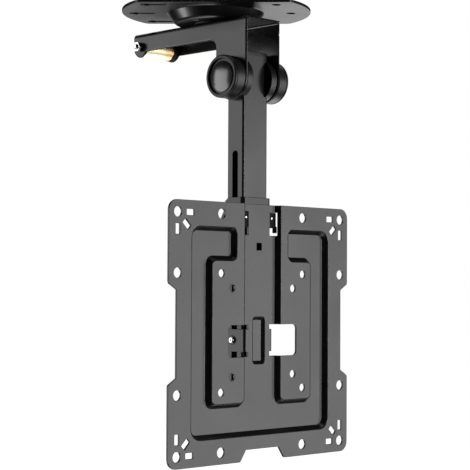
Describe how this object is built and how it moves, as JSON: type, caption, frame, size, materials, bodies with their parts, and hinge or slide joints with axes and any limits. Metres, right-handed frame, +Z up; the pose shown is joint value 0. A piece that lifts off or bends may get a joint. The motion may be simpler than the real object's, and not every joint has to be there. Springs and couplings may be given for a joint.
{
  "type": "tv ceiling mount",
  "caption": "Flip-down ceiling mount for a flat screen: domed swivel plate, channel arm with a hinge, slotted drop tube and a pressed screen plate that slides up and down.",
  "frame": {"origin": "on the swivel axis, in the flat top face of the ceiling plate", "axes": "+Z up into the ceiling, +X to the right along the hinge pin as the screen plate is faced, +Y from the screen plate back along the arm"},
  "size_m": [0.22, 0.1729, 0.3964],
  "materials": {
    "black_coat": "satin",
    "black_plastic": "satin",
    "matt_plastic": "matte",
    "gloss_button": "gloss",
    "bright_zinc": "bright",
    "yellow_zinc": "polished",
    "pale_nylon": "matte",
    "dark_steel": "satin"
  },
  "bodies": {
    "ceiling": {"ceiling_plate": "black_coat", "dome_rivet": "dark_steel", "swivel_bolt": "bright_zinc", "swivel_washer_upper": "bright_zinc", "swivel_washer_lower": "bright_zinc", "swivel_nut": "bright_zinc"},
    "arm": {"channel_arm": "black_coat", "swivel_glide": "pale_nylon", "hinge_bolt": "bright_zinc", "hinge_nut": "bright_zinc", "friction_disc_left": "pale_nylon", "friction_disc_right": "pale_nylon", "hinge_cap_left": "black_plastic", "hinge_cap_right": "black_plastic", "cap_button_left": "gloss_button", "cap_button_right": "gloss_button", "cross_bar": "yellow_zinc", "bar_bush": "matt_plastic", "bar_washer_left": "dark_steel", "bar_washer_right": "dark_steel", "bar_screw": "bright_zinc", "bar_nut": "bright_zinc"},
    "pole": {"drop_tube": "black_coat", "tube_plug_top": "black_plastic", "tube_plug_bottom": "black_plastic", "hinge_spacer_left": "black_plastic", "hinge_spacer_right": "black_plastic"},
    "carriage": {"vesa_plate": "black_coat", "guide_sleeve": "matt_plastic", "clamp_bolt": "dark_steel", "clamp_nut": "dark_steel", "clamp_washer_left": "dark_steel", "clamp_washer_right": "dark_steel", "slot_bush_left": "black_plastic", "slot_bush_right": "black_plastic", "ear_screw": "bright_zinc", "ear_nut": "bright_zinc", "clip_pin_left": "bright_zinc", "clip_pin_right": "bright_zinc"}
  },
  "joints": [
    {"name": "swivel", "type": "hinge", "parent": "ceiling", "child": "arm", "pos_m": [0, 0, 0], "axis": [0, 0, 1], "range_deg": [-90, 90]},
    {"name": "flip_down", "type": "hinge", "parent": "arm", "child": "pole", "pos_m": [0, -0.0401, -0.0664], "axis": [1, 0, 0], "range_deg": [0, 90]},
    {"name": "height", "type": "slide", "parent": "pole", "child": "carriage", "axis": [0, 0, 1], "range_m": [-0.05, 0.05]}
  ]
}
